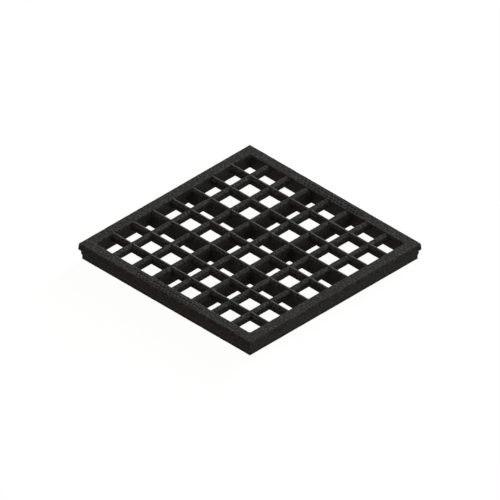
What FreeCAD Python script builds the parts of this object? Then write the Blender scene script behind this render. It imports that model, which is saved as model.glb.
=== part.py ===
import FreeCAD
import Part
import math
import os

from FreeCAD import Vector

# Square cast iron drain grate, in millimetres, +Z up.
# The origin is the middle of the foot plane, on which the grate stands.
# X bars run along X and are counted from the front. Y bars run along Y and are counted from the left.

# Rim
LIP_WIDTH = 304.8  # over the widest edge of the lip: a 12 inch grate
HEIGHT = 23.4  # foot plane to rim top
LIP_HEIGHT = 9.3  # rim top to the underside of the lip
LIP_DRAFT = 5.0  # degrees, the lip's edge leans in towards the top
LIP_CORNER_RADIUS = 0.7
LEDGE = 2.6  # width of the lip's underside
BAND_HEIGHT = 5.3  # upright band below the lip that centres the grate in its frame
LEAD_IN = 1.0  # the skirt steps in this far below the band
LEAD_IN_HEIGHT = 3.2  # height of the sloped step
RIM_TOP_WIDTH = 15.0  # flat top of the rim, out to in
WELL_DRAFT = 4.0  # degrees, the lip's inner wall opens out downwards
FOOT_WIDTH = 9.0  # the skirt thins to this width at the foot
WELL_CORNER_RADIUS = 3.0  # inner corners of the lip, in plan
EDGE_RADIUS = 0.5  # rounding of the rim's top edges
UNDER_EDGE_RADIUS = 0.5  # rounding of the lip's lower edge

# Bars
CELLS = 8  # openings along one side
MAIN_BARS = (3, 5)  # these bars, counted along one side, reach down to the foot plane
BAR_WIDTH = 8.2  # across the eaves
BAR_DRAFT = 1.0  # degrees, each side narrows towards the bottom
CROWN_RISE = 2.0  # eaves to crown
CROWN_FLAT = 0.3  # narrow flat along the crown
CROWN_DROP = 0.1  # the crown lies this far below the rim top
CROSS_BAR_DEPTH = 10.4  # rim top to the bottom of a shallow bar
OUTER_CELL_EXTRA = 1.0  # a cell beside the rim is this much wider than an inner one
BAR_ROOT = 5.0  # a bar is drawn this far into the rim, then trimmed to the rim's wall

# Heights and half widths that follow
ledge_z = HEIGHT - LIP_HEIGHT
band_foot_z = ledge_z - BAND_HEIGHT
lead_in_foot_z = band_foot_z - LEAD_IN_HEIGHT
crown_z = HEIGHT - CROWN_DROP
eaves_z = crown_z - CROWN_RISE
cross_bar_foot_z = HEIGHT - CROSS_BAR_DEPTH

lip_half = LIP_WIDTH / 2
top_half = lip_half - LIP_HEIGHT * math.tan(math.radians(LIP_DRAFT))
band_half = lip_half - LEDGE
skirt_half = band_half - LEAD_IN
well_half = top_half - RIM_TOP_WIDTH
well_slope = math.tan(math.radians(WELL_DRAFT))
well_ledge_half = well_half + LIP_HEIGHT * well_slope
well_foot_half = skirt_half - FOOT_WIDTH

# The lattice fills the well: inner cells are alike, and the outer ones carry the extra.
pitch = (well_half + BAR_WIDTH / 2 - OUTER_CELL_EXTRA) / (CELLS / 2)


def frustum(half_low, z_low, half_high, z_high):
    """Upright square block whose four sides may slope."""
    block = Part.makeWedge(
        -half_low, z_low, -half_low, -half_high, -half_high,
        half_low, z_high, half_low, half_high, half_high,
    )
    block.rotate(Vector(0, 0, 0), Vector(1, 0, 0), 90)
    return block


def reach(point):
    """How far a point lies from the middle of the grate, measured square to the nearest side."""
    return max(abs(point.x), abs(point.y))


def edges_at(shape, z, nearest, farthest):
    """Edges that lie level at one height, between two distances from the middle."""
    found = []
    for edge in shape.Edges:
        level = all(abs(v.Point.z - z) < 1e-4 for v in edge.Vertexes)
        far = max(reach(v.Point) for v in edge.Vertexes)
        if level and nearest < far < farthest:
            found.append(edge)
    return found


def upright_edges(block, z_low, z_high):
    """The corner edges of a block, which rise between two heights."""
    found = []
    for edge in block.Edges:
        ends = sorted(v.Point.z for v in edge.Vertexes)
        if abs(ends[0] - z_low) < 1e-4 and abs(ends[-1] - z_high) < 1e-4:
            found.append(edge)
    return found


def make_well(corner_radius):
    """The space inside the lip: a square that opens out downwards, with rounded or sharp corners."""
    over = 5.0
    low_half = well_half + (HEIGHT + over) * well_slope
    high_half = well_half - over * well_slope
    well = frustum(low_half, -over, high_half, HEIGHT + over)
    if corner_radius > 0:
        well = well.makeFillet(corner_radius, upright_edges(well, -over, HEIGHT + over))
    return well


def make_flare():
    """The space inside the skirt: it starts as wide as the lip's wall ends and opens out further to the foot."""
    over = 1.0
    slope = (well_foot_half - well_ledge_half) / ledge_z
    return frustum(well_foot_half + over * slope, -over, well_ledge_half, ledge_z)


def make_rim():
    """Lip, band, sloped step and foot as one ring, with its edges rounded."""
    lip = frustum(lip_half, ledge_z, top_half, HEIGHT)
    lip = lip.makeFillet(LIP_CORNER_RADIUS, upright_edges(lip, ledge_z, HEIGHT))
    lip = lip.makeFillet(UNDER_EDGE_RADIUS, edges_at(lip, ledge_z, 0, LIP_WIDTH))
    band = frustum(band_half, band_foot_z, band_half, ledge_z)
    step = frustum(skirt_half, lead_in_foot_z, band_half, band_foot_z)
    foot = frustum(skirt_half, 0, skirt_half, lead_in_foot_z)
    ring = lip.fuse([band, step, foot]).removeSplitter().cut(make_well(WELL_CORNER_RADIUS))
    rim_middle = top_half - RIM_TOP_WIDTH / 2
    outer_top = edges_at(ring, HEIGHT, rim_middle, LIP_WIDTH)
    inner_top = edges_at(ring, HEIGHT, 0, rim_middle)
    return ring.makeFillet(EDGE_RADIUS, outer_top + inner_top).cut(make_flare())


def split_rim(ring):
    """The ring parted into its strips: four lips, the four skirts under them and four corner fillets."""
    square_well = make_well(0)
    straight = ring.cut(square_well)
    arm = LIP_WIDTH
    under_lip = Part.makeBox(2 * arm, 2 * arm, ledge_z + 1, Vector(-arm, -arm, -1))
    strips = {}
    for turn, side in enumerate(("front", "right", "back", "left")):
        outline = [Vector(0, 0, -1), Vector(-arm, -arm, -1), Vector(arm, -arm, -1), Vector(0, 0, -1)]
        quarter = Part.Face(Part.makePolygon(outline)).extrude(Vector(0, 0, HEIGHT + 2))
        quarter.rotate(Vector(0, 0, 0), Vector(0, 0, 1), 90 * turn)
        mitred = straight.common(quarter)
        strips[f"lip_{side}"] = mitred.cut(under_lip)
        strips[f"skirt_{side}"] = mitred.common(under_lip)
    for fillet in ring.common(square_well).Solids:
        depth_word = "front" if fillet.CenterOfMass.y < 0 else "back"
        width_word = "left" if fillet.CenterOfMass.x < 0 else "right"
        strips[f"corner_fillet_{depth_word}_{width_word}"] = fillet
    return strips


def make_bar(number, foot_z, along_x):
    """A bar with a low gabled crown and drafted sides, running a little way into the rim at both ends."""
    foot_half = BAR_WIDTH / 2 - (eaves_z - foot_z) * math.tan(math.radians(BAR_DRAFT))
    right = [(CROWN_FLAT / 2, crown_z), (BAR_WIDTH / 2, eaves_z), (foot_half, foot_z)]
    left = [(-across, z) for across, z in reversed(right)]
    start = -well_half - BAR_ROOT
    outline = [Vector(start, across, z) for across, z in right + left]
    bar = Part.Face(Part.makePolygon(outline + outline[:1])).extrude(Vector(-2 * start, 0, 0))
    bar.translate(Vector(0, (number - CELLS / 2) * pitch, 0))
    if not along_x:
        bar.rotate(Vector(0, 0, 0), Vector(0, 0, 1), -90)
    return bar


def trim(bar, others):
    """A bar with the room of other members taken out, as separate closed solids."""
    return Part.makeCompound(bar.cut(others).Solids)


def make_bars(ring):
    """All the bars: each is trimmed to the rim and coped over the bars it crosses that come before it."""
    numbers = range(1, CELLS)
    main = [n for n in numbers if n in MAIN_BARS]
    cross = [n for n in numbers if n not in MAIN_BARS]
    main_x = [make_bar(n, 0, True) for n in main]
    main_y = [make_bar(n, 0, False) for n in main]
    cross_x = [make_bar(n, cross_bar_foot_z, True) for n in cross]
    cross_y = [make_bar(n, cross_bar_foot_z, False) for n in cross]
    families = (
        ("main_bar_x", main_x, [ring]),
        ("main_bar_y", main_y, [ring] + main_x),
        ("cross_bar_x", cross_x, [ring] + main_y),
        ("cross_bar_y", cross_y, [ring] + main_x + cross_x),
    )
    bars = {}
    for family, members, in_the_way in families:
        for count, bar in enumerate(members, 1):
            bars[f"{family}_{count}"] = trim(bar, in_the_way)
    return bars


rim = make_rim()
nodes = {**split_rim(rim), **make_bars(rim)}

os.makedirs("parts", exist_ok=True)
for name, shape in nodes.items():
    shape.exportStep(f"parts/{name}.step")
    print(f"{name}: {len(shape.Solids)} solids, {shape.Volume / 1000:.1f} cm3")
print(f"pitch {pitch:.2f} mm, opening {pitch - BAR_WIDTH:.2f} mm")
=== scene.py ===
# %% [markdown]
# # A cast iron drain grate
# A drain grate is one piece of grey iron. It is poured into a mould of packed sand, knocked out, brushed
# and dipped in black paint, and then it lies in a frame over a drain.
#
# The shape was settled in CAD, where each strip of the grate is a solid of its own. Those solids are loaded
# first and stay fixed. Everything below is in metres and sits in their frame.

# %% Load the solids
import math

import bmesh
import bpy
import numpy as np
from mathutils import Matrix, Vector


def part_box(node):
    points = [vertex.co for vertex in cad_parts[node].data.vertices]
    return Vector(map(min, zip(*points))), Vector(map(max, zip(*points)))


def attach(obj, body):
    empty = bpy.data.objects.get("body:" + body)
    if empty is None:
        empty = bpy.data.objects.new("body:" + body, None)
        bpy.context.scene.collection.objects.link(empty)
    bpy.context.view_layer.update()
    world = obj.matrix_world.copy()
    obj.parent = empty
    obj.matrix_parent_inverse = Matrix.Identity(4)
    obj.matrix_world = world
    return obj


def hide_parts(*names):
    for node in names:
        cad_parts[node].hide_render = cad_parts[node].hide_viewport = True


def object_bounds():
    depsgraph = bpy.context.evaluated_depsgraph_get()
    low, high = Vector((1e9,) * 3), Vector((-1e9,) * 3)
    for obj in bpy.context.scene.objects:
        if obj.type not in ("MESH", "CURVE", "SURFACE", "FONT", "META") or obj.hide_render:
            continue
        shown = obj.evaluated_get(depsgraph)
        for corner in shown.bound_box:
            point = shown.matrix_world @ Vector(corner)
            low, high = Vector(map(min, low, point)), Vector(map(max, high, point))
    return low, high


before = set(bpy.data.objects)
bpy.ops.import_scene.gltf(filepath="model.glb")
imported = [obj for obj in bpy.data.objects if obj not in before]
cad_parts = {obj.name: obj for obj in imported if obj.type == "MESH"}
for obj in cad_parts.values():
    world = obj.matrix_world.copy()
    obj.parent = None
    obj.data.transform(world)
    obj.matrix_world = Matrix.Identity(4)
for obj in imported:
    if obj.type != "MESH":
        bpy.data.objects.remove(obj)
cad_box = [list(corner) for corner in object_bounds()]
print("solids:", len(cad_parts), "box:", cad_box)

# %% [markdown]
# ## Sizes
# A second list of sizes would drift away from the CAD one, so the sizes are read off the solids' own boxes:
# how high the rim stands, how far out its inner wall is, how deep the shallow bars reach, and where each
# bar runs.

# %% Read the sizes
X_AXIS, Y_AXIS = 0, 1
RIM_SIDES = {
    "front": Vector((0, -1, 0)),
    "right": Vector((1, 0, 0)),
    "back": Vector((0, 1, 0)),
    "left": Vector((-1, 0, 0)),
}


def bar_lines(family, axis):
    """Names of a family's bars, each with its middle line and half its width across that axis."""
    lines = {}
    for name in sorted(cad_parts):
        if name.startswith(family):
            low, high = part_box(name)
            lines[name] = (low[axis] + high[axis]) / 2, (high[axis] - low[axis]) / 2
    return lines


top_z = cad_box[1][2]
well_half = -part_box("lip_front")[1].y
cross_foot_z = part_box("cross_bar_x_1")[0].z
main_rows = bar_lines("main_bar_x", Y_AXIS)
cross_rows = bar_lines("cross_bar_x", Y_AXIS)
main_columns = bar_lines("main_bar_y", X_AXIS)
cross_columns = bar_lines("cross_bar_y", X_AXIS)
rows = {**main_rows, **cross_rows}
print(f"rim top {top_z:.4f}, inner wall at {well_half:.4f}, shallow bars from {cross_foot_z:.4f}")
print("rows:", {name: round(middle, 4) for name, (middle, _) in rows.items()})

# %% [markdown]
# ## Camera
# In the photograph, the sides that run left and the sides that run right stay parallel, and all three edges
# at the near corner make equal angles. That is an isometric view: no perspective, seen along a cube's
# diagonal. An orthographic camera does that exactly. A long lens from far away would only come close.

# %% Set up the camera
ACROSS = 0.6261  # width of the picture at the object
AIM = Vector((0.0001, 0.0001, 0.0133))  # the point in the middle of the picture
CAMERA_DISTANCE = 10.0  # without perspective, any distance gives the same picture


def add_object(name, data):
    """A new object in the scene."""
    new = bpy.data.objects.new(name, data)
    bpy.context.scene.collection.objects.link(new)
    return new


camera = add_object("camera", bpy.data.cameras.new("camera"))
camera.data.type = "ORTHO"
camera.data.ortho_scale = ACROSS
towards_camera = Vector((1, -1, 1)).normalized()
camera.location = AIM + CAMERA_DISTANCE * towards_camera
camera.rotation_euler = towards_camera.to_track_quat("Z", "Y").to_euler()
bpy.context.scene.camera = camera
print("camera at", [round(v, 3) for v in camera.location])

# %% [markdown]
# ## The casting
# On the real grate no strip ends where the next begins: the iron runs through every crossing and leaves a
# small hollow round in each inner corner, because sharp sand would wash away. Bevels on the separate strips
# can't do that, since two strips share no edge. So copies of all solids go into one mesh, and a voxel remesh
# grows one skin round them. One turn of smoothing then rounds the corners, inside and out, by about half a
# millimetre.

# %% Weld the strips
VOXEL = 0.00055
SAME_POINT = 1e-6  # points of the solids this near are one
ROUNDING = 0.4  # how far a point moves towards the middle of its neighbours

strips = bmesh.new()
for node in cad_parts.values():
    strips.from_mesh(node.data)
bmesh.ops.remove_doubles(strips, verts=strips.verts, dist=SAME_POINT)
mould = add_object("mould", bpy.data.meshes.new("mould"))
strips.to_mesh(mould.data)
strips.free()

weld = mould.modifiers.new("weld", "REMESH")
weld.mode = "VOXEL"
weld.voxel_size = VOXEL
rounding = mould.modifiers.new("rounding", "SMOOTH")
rounding.factor = ROUNDING
rounding.iterations = 1
print("strips welded:", len(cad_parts), "into voxels of", VOXEL)

# %% [markdown]
# ## Sand skin
# The sand leaves its print on the iron: a slow waviness where the mould was rammed harder or softer, and
# small pits from its grains. Both could be bump only, but then the outline would stay ruler straight. Two
# Displace modifiers move the skin itself. Their middle level is one half, so as much skin rises as sinks,
# and the grate keeps its size.


# %% Press the sand in
def press_sand(name, size, depth):
    """Rises and dents of one size, which differ in height by up to that depth."""
    print_of_sand = bpy.data.textures.new(name, "CLOUDS")
    print_of_sand.noise_scale = size
    print_of_sand.noise_depth = 1
    dents = mould.modifiers.new(name, "DISPLACE")
    dents.texture = print_of_sand
    dents.texture_coords = "LOCAL"
    dents.mid_level = 0.5
    dents.strength = depth


def finished(thing):
    """The mesh that an object's modifiers make."""
    return bpy.data.meshes.new_from_object(thing.evaluated_get(bpy.context.evaluated_depsgraph_get()))


press_sand("rammed_sand", size=0.016, depth=0.0003)
press_sand("sand_grain", size=0.0024, depth=0.00025)
casting = finished(mould)
casting.polygons.foreach_set("use_smooth", np.ones(len(casting.polygons), bool))
print("skin of the casting:", len(casting.polygons), "faces")

# %% [markdown]
# ## Ground foot
# A grate that rocks would ring under every wheel, so its foot is ground flat after casting. Cutting the
# whole skin with a plane would do that too, but slowly. Here, points that the sand left below the foot plane
# move up to it.


# %% Grind the foot
def per_point(mesh, what):
    """A three-part value of each vertex as an array."""
    flat = np.empty(len(mesh.vertices) * 3, np.float32)
    mesh.vertices.foreach_get(what, flat)
    return flat.reshape(-1, 3)


skin = per_point(casting, "co")
print("points ground off:", int((skin[:, 2] < 0).sum()))
skin[:, 2] = np.maximum(skin[:, 2], 0)
casting.vertices.foreach_set("co", skin.ravel())
casting.update()

# %% [markdown]
# ## Crests and hollows
# Paint thins on edges, and a warm shade is painted into corners, so the finish has to know which is which.
# Blender's own
# Pointiness would tell, but it changes with the mesh. A smoothed copy of the skin falls behind the real one
# at edges and stands in front of it in hollows. That distance is kept on each point, in millimetres, and the
# cuts below carry it along.

# %% Measure the crests
SOFT_TURNS = 16  # of smoothing, which reaches a few millimetres
PER_METRE = 1000  # millimetres

softened = mould.modifiers.new("softened", "SMOOTH")
softened.factor = 0.5
softened.iterations = SOFT_TURNS
soft_copy = finished(mould)
lead = (skin - per_point(soft_copy, "co")) * per_point(casting, "normal")
crest = lead.sum(axis=1) * PER_METRE
casting.attributes.new("crest", "FLOAT", "POINT").data.foreach_set("value", crest)
bpy.data.meshes.remove(soft_copy)
bpy.data.objects.remove(mould)
print("crests in mm, lowest, middle and highest:", np.percentile(crest, [0.1, 50, 99.9]).round(3))

# %% [markdown]
# ## Cutting the casting
# The part is kept as named pieces, so the skin is parted again. Booleans could do it, but slowly on so fine a
# skin. Here, every block is what lies behind a few flat planes. Each cut is closed with a lid, and its edges
# are marked sharp so that the lid doesn't bend the shading beside it. The cuts lie a little way out from the
# crossings, on straight iron, where a seam can't show.

# %% A cutter for blocks
MARGIN = 3 * VOXEL  # skin that is picked beyond a cut
ON_PLANE = 1e-7  # points this near a cut lie on it

blank = add_object("blank", casting)
picked = blank.modifiers.new("picked", "MASK")
print("points to cut from:", len(skin))


def pick(near):
    """A mesh of only those points of the casting, picked by a Mask modifier."""
    group = blank.vertex_groups.new(name="near")
    group.add(np.flatnonzero(near).tolist(), 1.0, "REPLACE")
    picked.vertex_group = group.name
    mesh = finished(blank)
    blank.vertex_groups.remove(group)
    return mesh


def saw(block, point, away):
    """Cuts off all that lies on one side of a plane and closes the cut with lids."""
    everything = block.verts[:] + block.edges[:] + block.faces[:]
    cut = bmesh.ops.bisect_plane(
        block, geom=everything, dist=ON_PLANE, plane_co=point, plane_no=away, clear_outer=True
    )
    seam = [part for part in cut["geom_cut"] if isinstance(part, bmesh.types.BMEdge)]
    for edge in seam:
        edge.smooth = False
    bmesh.ops.edgeloop_fill(block, edges=seam)


def cut_block(planes):
    """The part of the casting behind all planes. A plane is a point and the direction that is cut off."""
    near = np.ones(len(skin), bool)
    for point, away in planes:
        near &= (skin - np.array(point)) @ np.array(away.normalized()) < MARGIN
    rough = pick(near)
    block = bmesh.new()
    block.from_mesh(rough)
    bpy.data.meshes.remove(rough)
    for point, away in planes:
        saw(block, point, away)
    return block


# %% [markdown]
# ## Naming a piece
# A bar that others run through is left as several blocks, which still are one piece of the grate. Joined
# objects would do, but one mesh is simpler to keep. Each piece moves with the grate's one body, takes its
# finish from one slot, and stands for the solids that it was cut from.

# %% A piece from its blocks
made = []


def add_piece(name, blocks, *nodes):
    """One named piece of the grate from its blocks, in place of the solids that it stands for."""
    shape = bmesh.new()
    loose = bpy.data.meshes.new("block")
    for block in blocks:
        block.to_mesh(loose)
        block.free()
        shape.from_mesh(loose)
    bpy.data.meshes.remove(loose)
    bmesh.ops.recalc_face_normals(shape, faces=shape.faces[:])
    gaps = sum(not edge.is_manifold for edge in shape.edges)
    piece = add_object(name, bpy.data.meshes.new(name))
    shape.to_mesh(piece.data)
    print(f"{name}: {len(shape.faces)} faces, {shape.calc_volume() * 1e6:.1f} cm3, open edges {gaps}")
    shape.free()
    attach(piece, "root")
    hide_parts(*nodes)
    made.append(piece)


# %% [markdown]
# ## Rim
# The rim is an angle in section: a lip that rests on the frame, and a skirt below it that centres the grate.
# Four sides meet at mitres, as the strips of a pattern do, so that all are alike, which butted ends are not.
# The lip keeps the top of the skirt with it, down to below the shallow bars, so that no bar is cut
# lengthwise.

# %% Cut out the rim
STUB = 0.0022  # a bar's end that stays with the rim
BELOW_BARS = 0.0008  # from a shallow bar's underside to the cut between lip and skirt
CORNERS = ["front_left", "front_right", "back_right", "back_left"]
parting_z = cross_foot_z - BELOW_BARS
inside = well_half - STUB
up = Vector((0, 0, 1))

for (side, out), corner in zip(RIM_SIDES.items(), CORNERS):
    along = up.cross(out)
    quarter = [(Vector(), along - out), (Vector(), -along - out), (out * inside, -out)]
    lip = cut_block(quarter)
    skirt = cut_block(quarter)
    saw(lip, up * parting_z, -up)
    saw(skirt, up * parting_z, up)
    add_piece(f"iron_lip_{side}", [lip], f"lip_{side}", f"corner_fillet_{corner}")
    add_piece(f"iron_skirt_{side}", [skirt], f"skirt_{side}")

# %% [markdown]
# ## Bars
# Two deep bars each way carry the load, and the shallow ones close the grid. All could be cut at every
# crossing, but then none would be long. So the deep bars along X run through, and whatever crosses a bar that
# runs through is cut on both sides of it, which gives the same stretches as the solids.

# %% Cut out the bars
CLEAR = 0.0013  # from a bar's side to the cut beside it


def strip_of(line):
    """The width that belongs to one bar."""
    middle, half = line
    return middle - half - CLEAR, middle + half + CLEAR


def between(lines):
    """The open stretches between bars, and between the bars and the rim."""
    edges = [-inside]
    for line in sorted(lines.values()):
        edges += strip_of(line)
    edges.append(inside)
    return list(zip(edges[::2], edges[1::2]))


def bar_blocks(along, across, stretches, line):
    """Stretches of one bar, ends cut first, which leaves clean iron for the cuts along the sides."""
    low, high = strip_of(line)
    sides = [(across * low, -across), (across * high, across)]
    return [cut_block([(along * start, -along), (along * end, along)] + sides) for start, end in stretches]


x_way, y_way = RIM_SIDES["right"], RIM_SIDES["back"]
for name, line in main_rows.items():
    add_piece(f"iron_{name}", bar_blocks(x_way, y_way, [(-inside, inside)], line), name)
for name, line in main_columns.items():
    add_piece(f"iron_{name}", bar_blocks(y_way, x_way, between(main_rows), line), name)
for name, line in cross_rows.items():
    add_piece(f"iron_{name}", bar_blocks(x_way, y_way, between(main_columns), line), name)
for name, line in cross_columns.items():
    add_piece(f"iron_{name}", bar_blocks(y_way, x_way, between(rows), line), name)
bpy.data.objects.remove(blank)
bpy.data.meshes.remove(casting)

# %% [markdown]
# ## Tread pips
# Such grates carry low raised pips where shoes and tyres would slide. Here they fill a panel in the middle of
# the front and the back rim. A bump in the finish would do for a picture, but not for a mesh that is kept. A
# pip is a short cone with a rounded top edge, sunk into the rim so that it grows out of the rough skin. It is
# repeated many times, so it has few faces.

# %% Make one pip
PIP_RADIUS, PIP_HEIGHT, PIP_ROOT = 0.0021, 0.0006, 0.0008
PIP_TAPER = 0.72  # the top's radius as a share of the foot's
PIP_EDGE = 0.0003  # rounding of the top edge

pip = bmesh.new()
bmesh.ops.create_cone(
    pip,
    cap_ends=True,
    segments=14,
    radius1=PIP_RADIUS,
    radius2=PIP_RADIUS * PIP_TAPER,
    depth=PIP_HEIGHT + PIP_ROOT,
)
shoulder = [edge for edge in pip.edges if all(vert.co.z > 0 for vert in edge.verts)]
bmesh.ops.bevel(
    pip,
    geom=shoulder,
    offset=PIP_EDGE,
    offset_type="OFFSET",
    affect="EDGES",
    segments=2,
    profile=0.5,
    material=-1,
)
bmesh.ops.translate(pip, verts=pip.verts, vec=(0, 0, top_z + (PIP_HEIGHT - PIP_ROOT) / 2))
for face in pip.faces:
    face.smooth = True
one_pip = bpy.data.meshes.new("pip")
pip.to_mesh(one_pip)
pip.free()
print("faces of a pip:", len(one_pip.polygons))

# %% Set out the pips
PITCH, ROW_GAP = 0.0058, 0.0051
LONG_ROW = 20  # pips in the inner row; the outer row has one fewer and is set between them
rim_middle = (well_half + cad_box[1][Y_AXIS]) / 2

for side in ("front", "back"):
    out = RIM_SIDES[side]
    panel = bmesh.new()
    for row, count in ((-0.5, LONG_ROW), (0.5, LONG_ROW - 1)):
        for step in range(count):
            panel.from_mesh(one_pip)
            panel.verts.ensure_lookup_table()
            place = out * (rim_middle + row * ROW_GAP) + Vector(((step - (count - 1) / 2) * PITCH, 0, 0))
            bmesh.ops.translate(panel, verts=panel.verts[-len(one_pip.vertices):], vec=place)
    add_piece(f"tread_pips_{side}", [panel])
bpy.data.meshes.remove(one_pip)

# %% [markdown]
# ## Writing a finish as sums
# A finish in Blender is a tree of nodes. Wired up one link at a time it is hard to read, so a small class
# stands for a socket: sums on it add Math nodes, and one method adds any other node.


# %% A socket that can be calculated with
class Wire:
    """A node's output. Adding, subtracting and multiplying make Math nodes."""

    def __init__(self, socket):
        self.socket, self.tree = socket, socket.id_data

    @staticmethod
    def node(tree, kind, settings=None, inputs=None, output=0):
        """Adds a node, sets it up, then fills or links its inputs."""
        new = tree.nodes.new("ShaderNode" + kind)
        for name, value in (settings or {}).items():
            setattr(new, name, value)
        for name, value in (inputs or {}).items():
            if isinstance(value, Wire):
                tree.links.new(value.socket, new.inputs[name])
            else:
                new.inputs[name].default_value = value
        return Wire(new.outputs[output]) if new.outputs else new

    def sum_of(self, operation, first, second):
        return Wire.node(self.tree, "Math", {"operation": operation}, {0: first, 1: second})

    def __add__(self, other):
        return self.sum_of("ADD", self, other)

    def __sub__(self, other):
        return self.sum_of("SUBTRACT", self, other)

    def __mul__(self, other):
        return self.sum_of("MULTIPLY", self, other)

    def __rsub__(self, other):
        return self.sum_of("SUBTRACT", other, self)

    __radd__, __rmul__ = __add__, __mul__

    def within(self, low, high):
        """0 at low, 1 at high, and no further."""
        limits = {"Value": self, "From Min": low, "From Max": high}
        return Wire.node(self.tree, "MapRange", {"clamp": True}, limits)


# %% [markdown]
# ## Black cast iron
# The finish is dull black paint over sand-cast iron. Close up it is a mix of paler grains, about three
# millimetres wide, and finer dark pits between them. Edges that are walked on are rubbed a little paler and
# smoother, a warm brown shade is painted onto hollows and low parts, and slow patches keep large faces from
# looking printed. A picture wrapped round the grate would stretch on its walls, so all of it is noise in
# space.

# %% Find the grains, edges and hollows
iron = bpy.data.materials.new("black_cast_iron")
iron.use_nodes = True
nodes = iron.node_tree
nodes.nodes.clear()
where = Wire.node(nodes, "TexCoord", output="Object")


def speckle(scale, detail, roughness=0.5):
    """Noise with features about one over scale metres wide."""
    inputs = {"Vector": where, "Scale": scale, "Detail": detail, "Roughness": roughness}
    return Wire.node(nodes, "TexNoise", {"noise_dimensions": "3D"}, inputs)


patches = speckle(scale=38, detail=2)
grains = speckle(scale=300, detail=1)
pits = speckle(scale=900, detail=2, roughness=0.6)
height = Wire.node(nodes, "SeparateXYZ", None, {0: where}, output="Z")
edge = Wire.node(nodes, "Attribute", {"attribute_name": "crest"}, output="Fac")

rubbed = edge.within(0.06, 0.30)  # millimetres of crest
hollow = (0 - edge).within(0.05, 0.25)  # millimetres of hollow
low_down = (top_z - height).within(0.0005, 0.006)  # metres below the rim top
print("nodes that find the grains, edges and hollows:", len(nodes.nodes))

# %% Mix the finish
BLACK_PAINT = (0.0088, 0.0086, 0.0082, 1)
PALE_GRAIN = (0.044, 0.044, 0.0433, 1)
RUBBED_EDGE = (0.049, 0.049, 0.0475, 1)
# the colour of a warm shade, painted onto low parts and into hollows
WARM_SHADE_TINT = (0.0205, 0.0128, 0.0088, 1)
DULLNESS = 0.66  # roughness of the paint
GRAIN_DEPTH = 0.001
MIRROR = 0.05  # a dusty skin mirrors far less than clean paint, which has 0.5


def blend(factor, first, second):
    """From the first colour to the second."""
    settings = {"data_type": "RGBA", "clamp_factor": True}
    return Wire.node(nodes, "Mix", settings, {0: factor, 6: first, 7: second}, output=2)


fleck = (grains - 0.5) * 1.6 + (pits - 0.5) + (patches - 0.5) * 0.3 + 0.5
paler = fleck * fleck * fleck * 2.0  # most of the skin stays dark, and a few grains stand out
black = blend(paler, BLACK_PAINT, PALE_GRAIN)
worn = blend(rubbed * 0.35, black, RUBBED_EDGE)
# painted shade: a warm brown laid in patches on low parts and in hollows, standing in for warm shade there
warm_shade = (low_down * 0.5 + hollow * 0.2) * patches.within(0.2, 0.6)
colour = blend(warm_shade, worn, WARM_SHADE_TINT)

roughness = DULLNESS + (grains - 0.5) * 0.25 - rubbed * 0.12
grain_height = grains * 0.75 + pits * 0.25
bump = {"Strength": 1.0, "Distance": GRAIN_DEPTH, "Height": grain_height}
normal = Wire.node(nodes, "Bump", None, bump)
surface = {"Base Color": colour, "Roughness": roughness, "Normal": normal, "Specular IOR Level": MIRROR}
shader = Wire.node(nodes, "BsdfPrincipled", None, surface)
Wire.node(nodes, "OutputMaterial", None, {"Surface": shader})

for piece in made:
    piece.data.materials.append(iron)
print("pieces in black iron:", len(made), "nodes in the finish:", len(nodes.nodes))

# %% [markdown]
# ## Floor
# The grate lies on a white sheet. A white floor would throw so much light up that black iron turns grey, so
# the floor has two sides to it. The camera and mirror-like rays see it almost white, with a faint shadow.
# Light that bounces off it finds a mid grey.

# %% Lay the floor
FLOOR_HALF = 30
FLOOR_GAP = 0.0001  # the floor lies a hair below the foot, so that the two don't flicker

sheet = bmesh.new()
bmesh.ops.create_grid(sheet, x_segments=1, y_segments=1, size=FLOOR_HALF)
bmesh.ops.translate(sheet, verts=sheet.verts, vec=(0, 0, -FLOOR_GAP))
floor = add_object("floor", bpy.data.meshes.new("floor"))
sheet.to_mesh(floor.data)
sheet.free()
print("floor laid, metres wide:", 2 * FLOOR_HALF)

# %% Whiten the floor
SHADOW_SHARE = 0.04  # how much of the floor's white the shadow can take away
GLOW = 1.01  # a little over white, which the shadow's share brings down again
PAPER, BOUNCE = 0.95, 0.4  # how pale the floor is to the shadow and to bounced light


def grey(level):
    """A colour without a tint."""
    return (level, level, level, 1)


def seen_directly(tree):
    """1 for rays from the camera, from mirrors and through glass."""
    camera_ray, glossy_ray, glass_ray = [
        Wire.node(tree, "LightPath", output=f"Is {kind} Ray") for kind in ("Camera", "Glossy", "Transmission")
    ]
    return camera_ray + glossy_ray + glass_ray


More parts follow.
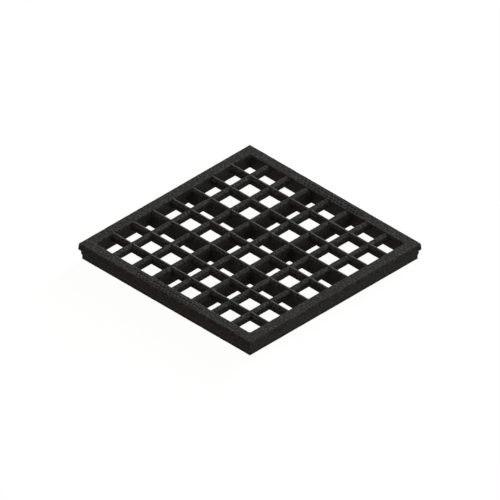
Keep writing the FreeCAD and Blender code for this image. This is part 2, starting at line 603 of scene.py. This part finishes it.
paper = bpy.data.materials.new("white_floor")
paper.use_nodes = True
tree = paper.node_tree
tree.nodes.clear()
glow = Wire.node(tree, "Emission", None, {"Color": grey(1), "Strength": GLOW})
shaded = Wire.node(tree, "BsdfDiffuse", None, {"Color": grey(PAPER)})
bright = Wire.node(tree, "MixShader", None, {0: SHADOW_SHARE, 1: glow, 2: shaded})
bounce = Wire.node(tree, "BsdfDiffuse", None, {"Color": grey(BOUNCE)})
either = Wire.node(tree, "MixShader", None, {0: seen_directly(tree), 1: bounce, 2: bright})
Wire.node(tree, "OutputMaterial", None, {"Surface": either})
floor.data.materials.append(paper)
print("nodes in the floor:", len(tree.nodes))

# %% [markdown]
# ## Light
# The photograph has soft, warm light all round, one broad lamp low behind the grate, a little to the left of
# its back edge, and a weaker, cooler one to the right. A lamp overhead would light both slopes of a bar
# alike. This way the far slopes of the bars that run along X catch the first lamp and their near slopes
# don't, which draws every ridge. The second opens up the walls that face right.

# %% Fill the room with light
AMBIENT = (0.46, 0.30, 0.22, 1)

world = bpy.data.worlds.new("studio")
bpy.context.scene.world = world
world.use_nodes = True
tree = world.node_tree
tree.nodes.clear()
soft = Wire.node(tree, "Background", None, {"Color": AMBIENT, "Strength": 1.0})
white = Wire.node(tree, "Background", None, {"Color": grey(1), "Strength": 1.0})
around = Wire.node(tree, "MixShader", None, {0: seen_directly(tree), 1: soft, 2: white})
Wire.node(tree, "OutputWorld", None, {"Surface": around})
print("light all round:", AMBIENT[:3])

# %% Hang the lamps
LAMP_DISTANCE, LAMP_WIDTH = 9.0, 3.2


def hang_lamp(name, direction, level, colour):
    """A broad square lamp. At level 1, a face turned towards it shows its colour as it is written."""
    lamp = add_object(name, bpy.data.lights.new(name, "AREA"))
    towards = Vector(direction).normalized()
    lamp.data.size = LAMP_WIDTH
    lamp.data.color = colour
    lamp.data.energy = level * (math.pi * LAMP_DISTANCE) ** 2
    lamp.location = towards * LAMP_DISTANCE
    lamp.rotation_euler = towards.to_track_quat("Z", "Y").to_euler()
    print(f"{name}: {lamp.data.energy:.0f} W")


hang_lamp("key_lamp", direction=(-0.15, 0.94, 0.27), level=2.03, colour=(0.89, 0.98, 1.0))
hang_lamp("fill_lamp", direction=(0.95, -0.2, 0.25), level=0.38, colour=(0.7, 0.99, 1.0))
bpy.context.scene.view_settings.view_transform = "Standard"
